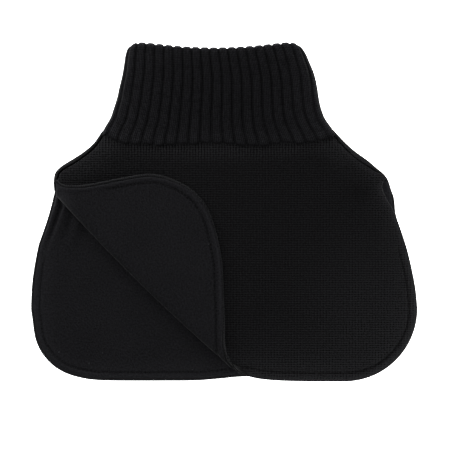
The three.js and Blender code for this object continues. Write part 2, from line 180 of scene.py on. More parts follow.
# The rest of the bibs' edges
BACK_LEFT_SIDE = MM * np.array(
    [(-170.4, 24), (-171.4, 14), (-174, 3), (-176.9, -7), (-180.2, -17), (-183.7, -27), (-186.8, -37),
     (-192, -67), (-193.7, -95)]
)
BACK_BOTTOM = MM * np.array(
    [(-192.4, -108), (-189.8, -126), (-185.4, -138), (-179, -147.5), (-169.5, -156.6), (-158, -163),
     (-146, -166.8), (-132, -169.2), (-112, -170.2), (-60, -170.3), (-28, -170), (-4, -168.2), (20, -166.2),
     (60, -167), (100, -169)]
)
BACK_RIGHT_SIDE = MM * np.array(
    [(164.5, 33), (167.6, 26), (169.6, 18), (171, 8), (171.8, -1), (174.6, -12), (181, -36), (189.3, -72),
     (192.3, -97.6)]
)
FRONT_RIGHT_SIDE = MM * np.array(
    [(161.5, 32), (158.6, 28), (158, 23.5), (159.6, 18), (163, 11), (167.6, 3.8), (171.9, -5), (183, -37),
     (191, -73), (193.7, -97.6)]
)
FRONT_BOTTOM = MM * np.array([(86, -170.7), (54, -169.8), (34, -167.8), (22, -165)])
RIGHT_CORNER = MM * np.array([120.6, -97.6])
RIGHT_CORNER_RADIUS = 73.1 * MM
BACK_CORNER_INSET = 1.5 * MM
FRONT_CENTRE = MM * np.array([4, -34])
BACK_CENTRE = MM * np.array([-2, -48])
# The wrapped cloth of a shoulder lies flat again between these heights, and reaches so far from its root line
ROLL_ENDS = (12 * MM, 26 * MM)
WRAP_REACH = 20 * MM
# The bibs' unevenness, sine waves: radians per metre across and up, phase, and share of the height
WAVES = ((31, 17, 0.6, 1), (-19, 37, 2.1, 1), (71, -23, 0, 0.6))
WAVE_HEIGHT = 0.11 * MM
# A low ridge of the bibs below the right shoulder: its ends, height and half width
SHOULDER_RIDGE = MM * np.array([(130, 70), (184, -26)])
RIDGE_HEIGHT = 4 * MM
RIDGE_HALF = 18 * MM
# Outer edge of the folded corner: distance along the fold line, and reach over the front
FLAP_EDGE = columns(
    "along reach",
    (2, 14.6),
    (11.5, 23.5),
    (20.7, 35.5),
    (35, 56.6),
    (55, 82),
    (79, 95),
    (103, 99),
    (127, 93),
    (162, 71.5),
    (198, 38.9),
    (229, 9.1),
    (246, 2.9),
)
# The tip of the folded corner at the left side, along and reach
FLAP_TIP = MM * np.array([(-6.1, 5.7), (-8.7, 8), (-9.7, 9.6), (-9.2, 11), (-7.2, 12.2), (-2.8, 12.3)])
# The same edge where it isn't turned over yet, along and across on the flat cloth
FOLD_LEFT_END = MM * np.array([(-2.6, -3), (-1, 1.8), (-4, 7)])
FOLD_RIGHT_END = MM * np.array([(258, 1.5)])
# How far the lining stays inside the knit's edge: by the distance along the fold line, past this distance
# across it, and elsewhere. Where it is narrow it leaves no room for a rim
LINING_EDGE = columns("along inset", (-20, 2.6), (88, 2.6), (118, 1.2), (200, 1.2), (224, 3), (290, 2.6))
FLAP_SIDE = -40 * MM
LINING_INSET = 2.6 * MM
NARROW_INSET = 1.2 * MM
# Soft folds in the back lining beside the fold line: foot and tip, height and half width. They rise from this
# distance across the fold line, and fade between these shares of the way from foot to tip
LINING_FOLDS = columns(
    "x0 y0 x1 y1 height half",
    (-158, 6, -170.5, -30, 4.2, 4.2),
    (-146.5, -10, -156, -36, 4, 6),
    (-167.5, 8, -180, -28, 3.4, 4.6),
)
FOLDS_FROM = -1 * MM
FOLDS_FADE = (0.4, 1.7)

# Hem of the bibs: a rolled rim at the edge, and a groove where it is topstitched
RIM = 2.3 * MM
RIM_RISE = 1.1 * MM
HEM_DROP = 0.8 * MM
HEM_STITCH = 8.6 * MM
GROOVE_WIDTH = 1.9 * MM
GROOVE_DEPTH = 0.75 * MM
LINING_GROOVE = 0.5 * MM
BULGE = 0.3 * MM
BULGE_PLACE = 0.55 * HEM_STITCH
BULGE_HALF = 0.5 * HEM_STITCH
# Painted light on the knit, paler towards its edges: its reach from the edge, that of the painted highlight
# along the rim, the rim's share where there is no hem, how much more there is on the back, and the painted
# shade that darkens it at the end of the fold
PAINTED_LIGHT_REACH = 28 * MM
RIM_HIGHLIGHT_REACH = 6 * MM
RAW_RIM = 0.4
BACK_PAINTED_LIGHT = 1.7
FOLD_END_SHADE = -1.4
FOLD_END_REACH = 40 * MM
FOLD_FADE = 4 * MM
# Painted light on the lining: its even amount on the front, the painted highlight along its rim, on the ridge
# along the folded corner and on the crease at the left end of the fold with the shares of the turn where it
# is risen, falls and ends, and the painted shade on the bend beyond it with middle and half width
FRONT_LINING_LIGHT = 0.05
LINING_RIM = 2.2 * MM
BACK_RIM_HIGHLIGHT = 0.3
FLAP_RIM = 2.9 * MM
FLAP_RIM_HALF = 1.8 * MM
FLAP_END = 232 * MM
FLAP_FADE = 20 * MM
CREASE_REACH = 30 * MM
CREASE_TURN = (0.35, 0.9, 1.5)
CREASE_HIGHLIGHT = 1.3
BENT_TURN = (0.42, 0.3)
BENT_SHADE = -0.5
# Where the front's knit is painted paler, as painted light, or darker, as painted shade: middle, reach, and
# share of the full painted light in thousandths
PAINTED_LIGHT_SPOTS = columns(
    "x y reach share",
    (176, -109, 135, 800),
    (44, -176, 75, 800),
    (110, -172, 60, 400),
    (129, 44, 18, -350),
    (139, 20, 18, -350),
)
# How much thicker the lining is where its edge is turned in
TURN_RISE = 0.4 * MM
TURN_WIDTH = 2.4 * MM
# The rim and the stitching fade over this length, the stitching so far from the hem's ends, and the points of
# the hem that have thread
HEM_FADE = 12 * MM
SEAM_ENDS = (66 * MM, 70 * MM)
SEAM_POINTS = slice(26, -26)
# One stitch of the topstitching: pitch, depth of the seam in the cloth, rise of its thread, and the share of
# its swell that is cut off at either tip
STITCH_PITCH = 4.3 * MM
STITCH_SUNK = 0.5 * MM
STITCH_RISE = 0.3 * MM
STITCH_TIP = 0.06

# Meshing: points round a bib, distances of the first rings from its edge, and rings on to the middle
ROUND_POINTS = 560
EDGE_RINGS = MM * np.array(
    [0, 0.12, 0.4, 0.85, 1.45, 2.05, 2.6, 3, 3.5, 4.4, 5.6, 6.8, 7.8, 8.6, 9.4, 10.6, 12.6]
)
MIDDLE_RINGS = 38
BEND_STRETCH = 4
# Points on a line, how many times more its cubics are drawn with, and the points that are measured at a time
FINE = 240
CURVE_FINER = 16
CHUNK = 4000
# An outline's points come from so many times as many, evened over this reach. A radian of turning counts as
# much as this length, and is evened too
OUTLINE_FINER = 8
OUTLINE_EVENED = 4
TURN_LENGTH = 8 * MM
TURN_EVENED = 7
# The reach of the rings is evened, and never less than this. An outline drawn in keeps the points that are
# more than this share of the distance away from the first one
REACH_EVENED = 6
MIN_REACH = 20 * MM
CLEAR_SHARE = 0.97
# Rows along the collar's turned-down leaf, inside it and in its slit
LEAF_ROWS = 30
INSIDE_ROWS = 18
SLIT_ROWS = 8
# Places across a rib, in ribs from its joint, and the groove's half width and power
RIB_PLACES = np.array([-0.16, -0.1, -0.03, 0.03, 0.1, 0.16, 0.23, 0.32, 0.43, 0.57, 0.68, 0.77])
RIB_GROOVE = 0.24
GROOVE_POWER = 0.8
# Turns of the collar's wall at its hem and over its top, and the ribs' relief at each of those over the top
HEM_TURN = np.radians([0, 22.5, 45, 67.5, 90])
TOP_TURN = np.radians([22, 45, 68, 90, 112, 135, 158])
TOP_RELIEF = np.array([1, 0.9, 0.8, 0.7, 0.8, 0.9, 1])
# Points along a stitch of thread and round it
STITCH_ALONG = 6
STITCH_ROUND = 6

# Finish of all the cloths, and the heights that their shading stands for
CLOTH_SHADER = {"Roughness": 0.9, "Specular IOR Level": 0.02, "Sheen Weight": 0.08, "Sheen Roughness": 0.38}
KNIT_BUMP = 0.4 * MM
LINING_BUMP = 0.25 * MM
# Shares of its colour that a cloth runs between
KNIT_TONES = (0.1, 2.2)
LINING_TONES = (0.35, 1.65)
THREAD_TONES = (0.2, 0.8)
# Scales of the noise, in cells for each metre
WOBBLE_SCALE = 90.0
JERSEY_MOTTLE = 650.0
RIB_MOTTLE = 430.0
LINING_MOTTLE = 640.0
NAP_SCALE = 520.0
CLOUD_SCALE = 24.0
LINT_SCALE = 300.0
# Limits between which noise becomes mottle, nap or lint
MOTTLE_ENDS = (0.3, 0.7)
NAP_ENDS = (0.28, 0.72)
LINT_ENDS = (0.78, 0.84)
# The drawn stitches below the neck seam fade between these depths
GATHER_ENDS = (14 * MM, 36 * MM)
# The painted shade of the stitch line fades between these distances. From a stitch's middle, where it has
# this share of its darkness, it darkens between these shares of a pitch to the needle holes
DOT_ENDS = (0.4 * MM, 1.7 * MM)
HOLE_ENDS = (0.22, 0.4)
HOLE_SHARE = 0.45
WALES_IN_RIB = 3
THREAD_TWIST = 0.9 * MM

# Stage: the floor below the cloth, what the photo is centred on, and the name, place, width and share of the
# power of each light
FLOOR_DROP = 0.2 * MM
PHOTO_CENTRE = (1 * MM, -14 * MM)
LIGHTS = (
    ("overhead_light", (-0.6, 0.3, 2.2), 1.6, 1.05),
    ("left_light", (-0.6, 0.3, 0.3), 0.4, 0.22),
    ("right_light", (0.56, -0.42, 0.28), 0.4, 0.26),
    ("front_light", (0.4, -1.1, 0.5), 0.6, 0.04),
    ("back_light", (0, 1.1, 0.5), 0.6, 0.45),
)


def ease(value):
    """Smooth step from 0 to 1: three times the square less twice the cube."""
    value = np.clip(value, 0, 1)
    return value * value * (3 - 2 * value)


def bell(value):
    """Rounded bump, 1 at zero and 0 from one unit away: the square of one less the square."""
    return np.clip(1 - value * value, 0, 1) ** 2


def look_up(rows, key, value, column):
    """Smooth curve through a table: cubics between its rows, with slopes from the rows beside."""
    xs, ys = rows[key], rows[column]
    slope = np.gradient(ys, xs)
    low = np.clip(np.searchsorted(xs, value) - 1, 0, len(xs) - 2)
    width = xs[low + 1] - xs[low]
    t = np.clip((value - xs[low]) / width, 0, 1)
    rise = ease(t)
    start = t * (1 - t) ** 2 * width * slope[low]
    end = -t * t * (1 - t) * width * slope[low + 1]
    return ys[low] + (ys[low + 1] - ys[low]) * rise + start + end


def quarter(value):
    """Quarter circle, from 0 at zero to 1 at one and beyond: the root of 1 - (1 - value) squared."""
    return np.sqrt(1 - (1 - np.clip(value, 0, 1)) ** 2)


def walked(line):
    """Length along an open line from its start to each of its points."""
    return np.concatenate([[0], np.cumsum(np.linalg.norm(np.diff(line, axis=0), axis=1))])


def at_run(at, run, line):
    """Points of a line at some runs, from the run at each of its own points."""
    return np.stack([np.interp(at, run, column) for column in line.T], axis=-1)


def spaced(line, count):
    """Points evenly spaced by length along an open line."""
    run = walked(line)
    return at_run(np.linspace(0, run[-1], count), run, line)


def closed(line):
    """A line with its first point once more at its end."""
    return np.concatenate([line, line[:1]])


def smooth_line(rows, count=FINE):
    """Evenly spaced points on the cubic curve through a table, whose slopes join the rows beside."""
    rows = np.asarray(rows)
    at = np.linspace(0, len(rows) - 1, CURVE_FINER * count)
    low = np.minimum(at.astype(int), len(rows) - 2)
    t = (at - low)[:, None]
    p0, p1 = rows[np.maximum(low - 1, 0)], rows[low]
    p2, p3 = rows[low + 1], rows[np.minimum(low + 2, len(rows) - 1)]
    v1, v2 = (p2 - p0) / 2, (p3 - p1) / 2
    curve = (2 * p1 - 2 * p2 + v1 + v2) * t**3 + (3 * p2 - 3 * p1 - 2 * v1 - v2) * t**2 + v1 * t + p1
    return spaced(curve, count)


def arc_line(corner, radius, start, end, count=FINE):
    """Points on a circular arc between two angles in degrees."""
    angle = np.radians(np.linspace(start, end, count))
    return corner + radius * np.stack([np.cos(angle), np.sin(angle)], axis=1)


def shifted(line, distance):
    """Moves each point of an open line to the left of its travel."""
    travel = np.gradient(line, axis=0)
    travel /= np.linalg.norm(travel, axis=1, keepdims=True)
    return line + distance * np.stack([-travel[:, 1], travel[:, 0]], axis=1)


def closed_normals(outline):
    """Unit normals of a closed line, out of its inside on the left."""
    travel = np.roll(outline, -2, axis=0) - np.roll(outline, 2, axis=0)
    travel /= np.linalg.norm(travel, axis=1, keepdims=True)
    return np.stack([travel[:, 1], -travel[:, 0]], axis=1)


def nearest(points, line):
    """Distance of each point from an open line, the run along the line there, and the side, left positive."""
    start, step = line[:-1], np.diff(line, axis=0)
    length = np.linalg.norm(step, axis=1)
    run = walked(line)
    flat = points.reshape(-1, 2)
    found = []
    for part in np.array_split(flat, max(1, len(flat) // CHUNK)):
        offset = part[:, None] - start
        share = np.clip((offset * step).sum(2) / length**2, 0, 1)
        gap = np.linalg.norm(offset - share[..., None] * step, axis=2)
        best = gap.argmin(1)
        row = np.arange(len(part))
        cross = step[best, 0] * offset[row, best, 1] - step[best, 1] * offset[row, best, 0]
        found.append(np.stack([gap[row, best], run[best] + share[row, best] * length[best], np.sign(cross)]))
    return np.concatenate(found, axis=1).reshape(3, *points.shape[:-1])


def edge_distance(points, outline):
    """Distance of each point from a closed outline."""
    return nearest(points, closed(outline))[0]


def top_dip(share):
    """Depth of the collar's top edge below its highest line, at a share of the half width."""
    return TOP_DIP * (1 - np.minimum(share * share, 1))


def seam_y(x):
    """Y of the seam between collar and bibs."""
    centre = look_up(COLLAR_SECTIONS, "below", SEAM_BELOW, "centre")
    half = look_up(COLLAR_SECTIONS, "below", SEAM_BELOW, "half")
    return COLLAR_TOP - top_dip((x - centre) / half) - SEAM_BELOW - SEAM_GAP


def bib_lift(points):
    """Lift of both bibs above their flat height near the collar: a smooth step down the bib."""
    below = seam_y(points[..., 0]) - points[..., 1]
    return RISE * (1 - ease((below - RISE_START) / RISE_LENGTH))


def soft_waves(points):
    """Slight unevenness of the cloth as it lies: three crossing sine waves, never below zero, and a low ridge
    below the right shoulder, which is a bell across a line and along it."""
    x, y = points[..., 0], points[..., 1]
    waves = sum(share * (1 + np.sin(across * x + up * y + phase)) for across, up, phase, share in WAVES)
    offset = points - SHOULDER_RIDGE[0]
    way = SHOULDER_RIDGE[1] - SHOULDER_RIDGE[0]
    length = np.linalg.norm(way)
    aside = (offset[..., 0] * way[1] - offset[..., 1] * way[0]) / length
    ridge = RIDGE_HEIGHT * bell(aside / RIDGE_HALF) * bell(2 * (offset @ way) / length**2 - 1)
    return WAVE_HEIGHT * waves + ridge


def front_top(points):
    """Height of the front's knit face before its corner is folded."""
    return STACK + bib_lift(points) + soft_waves(points)


def fold_radius(along):
    """Inner radius of the turned-over corner, wider to both ends of the fold line: powers of its share."""
    share = np.clip(along / FOLD_LENGTH, 0, 1)
    return FOLD_RADIUS + FOLD_WIDER_LEFT * (1 - share) ** 5 + FOLD_WIDER_RIGHT * share**4


def bend_start(along):
    """Where the cloth starts to turn over, measured across the fold line, on a shallow arch."""
    share = np.clip(along / FOLD_LENGTH, 0, 1)
    return 4 * FOLD_BOW * share * (1 - share) - fold_radius(along) - BIB


def bend_length(along):
    """Length of cloth in the half turn, along the middle of its thickness."""
    return np.pi * (fold_radius(along) + BIB / 2)


def from_fold(along, across):
    """A place measured along and across the fold line as x and y."""
    return FOLD_START + along[..., None] * FOLD_ALONG + across[..., None] * FOLD_ACROSS


def to_fold(points):
    """Distances of points along and across the fold line."""
    return (points - FOLD_START) @ FOLD_ALONG, (points - FOLD_START) @ FOLD_ACROSS


def opened(points):
    """Stretches the bend across the fold line, so that a mesh made there is finer in the bend."""
    along, across = to_fold(points)
    inside = np.clip(across - bend_start(along), 0, bend_length(along))
    return from_fold(along, across + (BEND_STRETCH - 1) * inside)


def closed_up(points):
    """Takes the stretch of opened() out again."""
    along, across = to_fold(points)
    start = bend_start(along)
    inside = np.clip((across - start) / BEND_STRETCH, 0, bend_length(along))
    return from_fold(along, across - (BEND_STRETCH - 1) * inside)


def on_front(points, depth):
    """Places points of the flat front, at a depth below its knit face, on the folded front.
    Before the bend they stay, in it they follow a half circle, and past it they run back over the front and
    sink to it."""
    along, across = to_fold(points)
    start, inner, length = bend_start(along), fold_radius(along), bend_length(along)
    past = across - start
    angle = np.pi * np.clip(past / length, 0, 1)
    over = np.maximum(past - length, 0)
    turned = from_fold(along, start + (inner + depth) * np.sin(angle) - over)
    root = from_fold(along, start - over)
    fall = np.maximum(look_up(FLAP_EDGE, "along", along, "reach") + start, FLAP_MIN_FALL)
    sink = (2 * inner - FLAP_GAP) * ease(over / fall)
    height = front_top(root) + inner - (inner + depth) * np.cos(angle) - sink
    stays = past <= 0
    place = np.where(stays[..., None], points, turned)
    height = np.where(stays, front_top(points) - depth, height)
    return np.concatenate([place, height[..., None]], axis=-1)


def root_line(rows):
    """Line where the back starts to roll up along a shoulder, inside on its left."""
    return shifted(smooth_line(rows), SHOULDER_ROLL)


# The root lines run on down the sides, so that the roll can end there
LEFT_ROOT = root_line(np.concatenate([LEFT_SHOULDER, BACK_LEFT_SIDE[1:4]]))
RIGHT_ROOT = root_line(np.concatenate([RIGHT_SHOULDER, BACK_RIGHT_SIDE[1:4]])[::-1])


def on_back(points, height):
    """Places points of the flat back at a height above its underside.
    Past a shoulder's root line the cloth rolls up and over in a half circle round the edge of the bibs, and
    then runs straight back. Down the sides the roll is mixed with the flat place, less and less."""
    height = height + np.zeros(points.shape[:-1])
    lift = bib_lift(points) + soft_waves(points)
    place = np.concatenate([points, (lift + height)[..., None]], axis=-1)
    low, high = ROLL_ENDS
    rolls = ease((points[..., 1] - low) / (high - low))[..., None]
    for root in (LEFT_ROOT, RIGHT_ROOT):
        distance, run, side = nearest(points, root)
        wrapped = (side < 0) & (distance < WRAP_REACH)
        foot = at_run(run, walked(root), root)
        out = (points - foot) / np.maximum(distance, 1e-9)[..., None]
        angle = np.minimum(distance / SHOULDER_ROLL, np.pi)
        beyond = distance - angle * SHOULDER_ROLL
        radius = SHOULDER_ROLL - height
        lifted = bib_lift(foot) + soft_waves(foot) + SHOULDER_ROLL - radius * np.cos(angle)
        turned = foot + out * (radius * np.sin(angle) - beyond)[..., None]
        rolled = np.concatenate([turned, lifted[..., None]], axis=-1)
        place = np.where(wrapped[..., None], rolled * rolls + place * (1 - rolls), place)
    return place


def neck_line():
    """The neck edge of a bib from left to right."""
    x = look_up(COLLAR_SECTIONS, "below", SEAM_BELOW, "centre") + np.linspace(-NECK_HALF, NECK_HALF, FINE)
    return np.stack([x, seam_y(x)], axis=1)


def evened(values, reach):
    """Each value of a closed row becomes the mean of those within a reach of places."""
    around = np.arange(-reach, reach + 1)
    return values[(np.arange(len(values))[:, None] + around) % len(values)].mean(1)


def spaced_round(line, count):
    """Points round a closed line, evenly spaced by its length plus its turning, so that corners get more."""
    fine = closed(evened(spaced(closed(line), OUTLINE_FINER * count + 1)[:-1], OUTLINE_EVENED))
    step = np.diff(fine, axis=0)
    heading = np.arctan2(step[:, 1], step[:, 0])
    turning = np.abs((np.roll(heading, -1) - heading + np.pi) % (2 * np.pi) - np.pi)
    turned = np.concatenate([[0], np.cumsum(evened(turning, TURN_EVENED))])
    run = walked(fine) + TURN_LENGTH * turned
    return at_run(np.linspace(0, run[-1], count + 1)[:-1], run, fine)


def bib_outline(lower, corner_radius, right_side, column, inside):
    """A bib's edge on the flat cloth as a closed line, inside on its left, and its hemmed stretch, open.
    Its shoulders lie inside their outer lines by what a function makes of a column of the wrap tables."""
    hemmed = [
        smooth_line(lower, 3 * FINE),
        arc_line(RIGHT_CORNER, corner_radius, -90, 0),
        smooth_line(right_side[::-1]),
    ]
    shoulders = []
    for rows, table, way in ((LEFT_SHOULDER, LEFT_WRAP, 1), (RIGHT_SHOULDER, RIGHT_WRAP, -1)):
        line = smooth_line(rows)
        value = look_up(table, "share", np.linspace(0, 1, len(line)), column)
        shoulders.append(shifted(line, way * inside(value)[:, None]))
    left, right = shoulders
    whole = np.concatenate([left, *hemmed, right[::-1], neck_line()[::-1]])
    return spaced_round(whole, ROUND_POINTS), spaced(np.concatenate(hemmed), 2 * FINE)


def front_outline():
    """The front bib's edge on the flat cloth and its hemmed stretch, with the folded corner opened out."""
    along, reach = FLAP_EDGE["along"], FLAP_EDGE["reach"]
    along, reach = np.concatenate([FLAP_TIP, np.stack([along, reach], axis=1)]).T
    flap = np.stack([along, 2 * bend_start(along) + bend_length(along) + reach], axis=1)
    turned = np.concatenate([FOLD_LEFT_END, flap, FOLD_RIGHT_END])
    lower = np.concatenate([from_fold(turned[:, 0], turned[:, 1]), FRONT_BOTTOM[::-1]])
    return bib_outline(
        lower, RIGHT_CORNER_RADIUS, FRONT_RIGHT_SIDE, "inset", lambda inset: inset + SHOULDER_SEAM
    )


def back_outline(wrapped):
    """The back bib's edge on the flat cloth and its hemmed stretch: wrapped is 1 with the cloth that wraps
    round the shoulders, and 0 without."""
    lower = np.concatenate([BACK_LEFT_SIDE, BACK_BOTTOM])
    radius = RIGHT_CORNER_RADIUS - BACK_CORNER_INSET
    return bib_outline(lower, radius, BACK_RIGHT_SIDE, "wrap", lambda wrap: SHOULDER_ROLL - wrapped * wrap)


def drawn_in(outline, inset):
    """Moves a closed outline inwards by distances that may differ, less what would cross at corners."""
    moved = outline - closed_normals(outline) * inset[:, None]
    clear = edge_distance(moved, outline) > CLEAR_SHARE * inset
    return spaced_round(moved[clear], ROUND_POINTS)


def rings_of(outline, centre):
    """Rings from a closed outline in to its centre, ring by ring, with the centre last.
    Point = centre + spoke x (1 - share). On the first rings the share keeps the distance from the edge;
    from there it grows evenly to 1 at the centre."""
    spoke = outline - centre
    reach = (spoke * closed_normals(outline)).sum(1)
    first = EDGE_RINGS[:, None] / np.maximum(evened(reach, REACH_EVENED), MIN_REACH)
    rest = first[-1] + (1 - first[-1]) * np.linspace(0, 1, MIDDLE_RINGS + 1)[1:-1, None]
    share = np.concatenate([first, rest])[..., None]
    return np.concatenate([(centre + spoke * (1 - share)).reshape(-1, 2), centre[None]])


def shell(name, near, far, layers):
    """Closed cloth from rings: two faces from a shared edge in to a middle point.
    near and far are places of the same points of the cloth, ring by ring, with the middle point last."""
    size = ROUND_POINTS
    count = len(near) // size
    joint = (near[:size] + far[:size]) / 2
    vertices = np.concatenate([joint, near[size:], far[size:]])
    ids = np.arange(count * size + 1)
    far_ids = np.where(ids < size, ids, ids + count * size + 1 - size)
    ring, turn = np.meshgrid(np.arange(count - 1), np.arange(size), indexing="ij")
    after = (turn + 1) % size
    here, inward = ring * size, (ring + 1) * size
    quads = np.stack([here + turn, here + after, inward + after, inward + turn], axis=-1).reshape(-1, 4)
    last = (count - 1) * size + np.arange(size)
    cap = np.stack([last, np.roll(last, -1), np.full(size, count * size)], axis=1)
    parts = (quads, cap, far_ids[quads[:, ::-1]], far_ids[cap[:, ::-1]])
    faces = [face for part in parts for face in part.tolist()]
    both = {key: np.concatenate([value, value[size:]]) for key, value in layers.items()}
    return make_mesh(name, vertices, faces, both)


def make_mesh(name, vertices, faces, layers):
    """A smooth object from vertices and faces. A layer of pairs becomes a UV map, given for each vertex or
    for each corner of each face, and a layer of numbers an attribute."""
    mesh = bpy.data.meshes.new(name)
    mesh.from_pydata(vertices.tolist(), [], faces)
    corners = np.zeros(len(mesh.loops), np.int32)
    mesh.loops.foreach_get("vertex_index", corners)
    for key, value in layers.items():
        if value.ndim > 1:
            uv = mesh.uv_layers.new(name=key)
            value = value if value.ndim == 3 else value[corners]
            uv.data.foreach_set("uv", value.astype(np.float32).ravel())
        else:
            numbers = mesh.attributes.new(key, "FLOAT", "POINT")
            numbers.data.foreach_set("value", value.astype(np.float32))
    mesh.polygons.foreach_set("use_smooth", np.ones(len(mesh.polygons), bool))
    mesh.update()
    if mesh.validate():
        raise RuntimeError(f"{name} had faces that had to be removed")
    piece = bpy.data.objects.new(name, mesh)
    bpy.context.scene.collection.objects.link(piece)
    return piece


def hem_press(distance):
    """How far a bib's face bulges beside the topstitching, less how far it is pressed in there."""
    groove = GROOVE_DEPTH * bell((distance - HEM_STITCH) / GROOVE_WIDTH)
    return BULGE * bell((distance - BULGE_PLACE) / BULGE_HALF) - groove


def hem_fade(run, whole, ends):
    """1 along the hem, fading to 0 at a distance from each of its ends."""
    return ease((run - ends[0]) / HEM_FADE) * ease((whole - ends[1] - run) / HEM_FADE)


def edge_facts(points, outline, hem):
    """Distances of points from the whole outline and from its hem, how far they are rimmed and sewn, and the
    mesh layers: the flat cloth as UV map, distances from the hem, along it and below the neck, where it is
    sewn, the painted light that pales the cloth towards its edges, and the painted highlight along its rim."""
    edge = edge_distance(points, outline)
    from_hem, run, _ = nearest(points, hem)
    rimmed, sewn = (hem_fade(run, walked(hem)[-1], ends) for ends in ((0, 0), SEAM_ENDS))
    neck = seam_y(points[:, 0]) - points[:, 1]
    layers = {"cloth": points, "hem": from_hem, "run": run, "sewn": sewn, "neck": neck}
    # Painted light: paler towards the edges
    layers["rubbed"] = ease(1 - edge / PAINTED_LIGHT_REACH)
    # Painted highlight along the rim, weaker where there is no hem
    layers["rim"] = bell(edge / RIM_HIGHLIGHT_REACH) * (RAW_RIM + (1 - RAW_RIM) * rimmed)
    return edge, from_hem, rimmed, sewn, layers


def knit_faces(edge, from_hem, rimmed, pressed):
    """Depths of a knit ply's outer and inner faces below the outer one: a round edge, thicker as a rolled
    rim where it is hemmed and the lining leaves room, and pressed in at the topstitching, by shares."""
    rim = RIM_RISE * rimmed
    half = (KNIT + rim) / 2
    rounded = quarter(2 * edge / RIM)
    drop = HEM_DROP * rimmed * bell(edge / HEM_STITCH) - pressed * hem_press(from_hem)
    inner = np.where(edge < RIM / 2, half * (1 + rounded), KNIT + rim * quarter(2 - 2 * edge / RIM))
    return half * (1 - rounded) + drop, inner


def lining_faces(edge, from_hem, sewn):
    """Depths of a lining's inner and outer faces below the knit's outer face: a round edge, thicker beside it
    where it is turned in, and pressed in at the topstitching."""
    half = LINING / 2 * quarter(2 * edge / LINING)
    middle = KNIT + PLY_GAP + LINING / 2
    pressed = LINING_GROOVE * bell((from_hem - HEM_STITCH) / GROOVE_WIDTH) * sewn
    turned_in = TURN_RISE * bell((edge - TURN_WIDTH) / TURN_WIDTH)
    return middle - half, middle + half + turned_in - pressed


def lining_inset(points):
    """How far the front's lining stays inside the knit's edge: less down the right of the folded corner."""
    along, across = to_fold(points)
    return np.where(across > FLAP_SIDE, look_up(LINING_EDGE, "along", along, "inset"), LINING_INSET)


def lining_room(points):
    """How far the front's lining leaves room for the knit's rolled rim, from 0 to 1."""
    return np.clip((lining_inset(points) - NARROW_INSET) / (LINING_INSET - NARROW_INSET), 0, 1)


def front_knit():
    """The front's knit face and rolled rim, folded over at its corner."""
    outline, hem = front_outline()
    points = closed_up(rings_of(opened(outline), opened(FRONT_CENTRE)))
    edge, from_hem, rimmed, sewn, layers = edge_facts(points, outline, hem)
    room = lining_room(points)
    along, across = to_fold(points)
    folded_end = bell((along - FOLD_LENGTH) / FOLD_END_REACH) * ease((across - bend_start(along)) / FOLD_FADE)
    # No painted highlight on the rim where the lining leaves no room or at the end of the fold
    layers["rim"] *= room * (1 - folded_end)
    # Painted shade darkens the knit at the end of the fold
    layers["rubbed"] += FOLD_END_SHADE * folded_end
    # Spots of painted light and painted shade
    for x, y, reach, share in zip(*PAINTED_LIGHT_SPOTS.values()):
        layers["rubbed"] += share * bell(np.hypot(*(points - (x, y)).T) / reach)
    outer, inner = knit_faces(edge, from_hem, rimmed * room, sewn)
    return shell("front_knit", on_front(points, outer), on_front(points, inner), layers)


def front_lining():
    """The front's lining, which shows on the folded corner."""
    outline, hem = front_outline()
    inside = drawn_in(outline, lining_inset(outline))
    points = closed_up(rings_of(opened(inside), opened(FRONT_CENTRE)))
    _, from_hem, _, sewn, layers = edge_facts(points, outline, hem)
    edge = edge_distance(points, inside)
    room = lining_room(points)
    # Painted highlight along the lining's edge, set in from it down the folded corner where there is no room
    # for a rim
    ridge = room * bell(edge / LINING_RIM) + (1 - room) * bell((edge - FLAP_RIM) / FLAP_RIM_HALF)
    along, across = to_fold(points)
    turned = (across - bend_start(along)) / bend_length(along)
    risen, falls, ended = CREASE_TURN
    creased = ease(turned / risen) * (1 - ease((turned - falls) / (ended - falls)))
    middle, half = BENT_TURN
    at_left = bell(along / CREASE_REACH)
    # Painted highlight on the crease at the left end of the fold, painted shade on the bend further along
    crease_light = CREASE_HIGHLIGHT * creased * at_left + BENT_SHADE * bell((turned - middle) / half) * (1 - at_left)
    layers["rim"] = ridge * ease((FLAP_END - along) / FLAP_FADE) + crease_light
    # An even amount of painted light
    layers["rubbed"] = np.full(len(points), FRONT_LINING_LIGHT)
    inner, outer = lining_faces(edge, from_hem, sewn)
    return shell("front_lining_cloth", on_front(points, inner), on_front(points, outer), layers)


def back_knit():
    """The back's knit face below, wrapped up round the shoulders."""
    outline, hem = back_outline(1)
    points = rings_of(outline, BACK_CENTRE)
    edge, from_hem, rimmed, _, layers = edge_facts(points, outline, hem)
    # More painted highlight along the rim and painted light near the edges on the back
    layers["rim"] *= BACK_PAINTED_LIGHT
    layers["rubbed"] *= BACK_PAINTED_LIGHT
    outer, inner = knit_faces(edge, from_hem, rimmed, 0)
    return shell("back_knit", on_back(points, inner), on_back(points, np.maximum(outer, 0)), layers)


def lining_folds(points):
    """Height of the soft folds: a bell across each line, fading to its ends and to the front's fold."""
    height = np.zeros(len(points))
    fades, ended = FOLDS_FADE
    for x0, y0, x1, y1, tall, half in zip(*LINING_FOLDS.values()):
        offset, way = points - (x0, y0), np.array([x1 - x0, y1 - y0])
        share = (offset @ way) / (way @ way)
        aside = (offset @ np.array([way[1], -way[0]])) / np.linalg.norm(way)
        height += tall * bell(aside / half) * ease((ended - share) / (ended - fades))
    return height * ease((to_fold(points)[1] - FOLDS_FROM) / FOLD_FADE)


